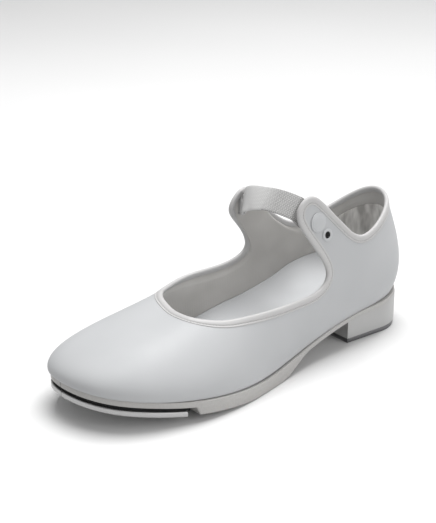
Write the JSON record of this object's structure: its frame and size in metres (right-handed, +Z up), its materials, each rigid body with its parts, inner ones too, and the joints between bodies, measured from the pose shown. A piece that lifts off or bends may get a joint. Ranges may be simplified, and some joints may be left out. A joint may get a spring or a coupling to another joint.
{
  "type": "tap shoe",
  "caption": "Low-heeled tap shoe with a bound topline, eared quarters, an elastic snap strap over the instep, and metal taps under toe and heel.",
  "frame": {"origin": "on the floor, in the middle of the heel tap's underside", "axes": "+Y from toe to heel, +X to the outer side of the foot, +Z up; left shoe"},
  "size_m": [0.0927, 0.2519, 0.106],
  "materials": {
    "upper_pu": "smooth satin, light grey",
    "binding_pu": "smooth satin, slightly lighter",
    "lining_textile": "matte woven lining",
    "insole_textile": "smooth light sock",
    "foam": "soft foam",
    "fibre_board": "pressed fibre board",
    "cork": "cork compound",
    "sole_rubber": "light grey matte",
    "heel_plastic": "painted grey",
    "black_board": "black fibre board",
    "tap_aluminium": "brushed",
    "heel_tap_metal": "dark grey painted metal",
    "steel": "zinc plated",
    "painted_snap": "painted to match the upper",
    "snap_steel": "nickel plated",
    "brass": "plain",
    "elastic": "ribbed elastic webbing"
  },
  "bodies": {
    "shoe": {"outer_upper": "upper_pu", "upper_lining": "lining_textile", "heel_counter": "fibre_board", "toe_puff": "fibre_board", "ear_reinforcement_lateral": "lining_textile", "ear_reinforcement_medial": "lining_textile", "heel_grip_lining": "insole_textile", "topline_binding": "binding_pu", "insole_board": "fibre_board", "sock_liner": "insole_textile", "heel_cushion": "foam", "bottom_filler": "cork", "shank": "steel", "outsole": "sole_rubber", "toe_tap_board": "black_board", "toe_tap_plate": "tap_aluminium", "toe_tap_screw_1": "steel", "toe_tap_screw_2": "steel", "toe_tap_screw_3": "steel", "heel_block": "heel_plastic", "heel_tap_plate": "heel_tap_metal", "heel_tap_screw_1": "steel", "heel_tap_screw_2": "steel", "heel_tap_screw_3": "steel", "strap_anchor": "elastic", "snap_cap": "painted_snap", "snap_socket": "snap_steel", "eyelet_barrel": "painted_snap", "eyelet_washer": "brass"},
    "bridge": {"strap_bridge": "elastic"},
    "end": {"strap_end": "elastic", "snap_stud": "snap_steel", "snap_post": "snap_steel"}
  },
  "joints": [
    {"name": "strap_lift", "type": "hinge", "parent": "shoe", "child": "bridge", "pos_m": [-0.00258, -0.06998, 0.09941], "axis": [0.0981, -0.7005, -0.7068], "range_deg": [0, 14]},
    {"name": "strap_end_fold", "type": "hinge", "parent": "bridge", "child": "end", "pos_m": [0.01908, -0.06541, 0.0979], "axis": [0.0981, -0.7005, -0.7068], "range_deg": [-48, 0]}
  ],
  "couplings": [
    {"joint": "strap_end_fold", "follows": "strap_lift", "ratio": -3.4}
  ]
}
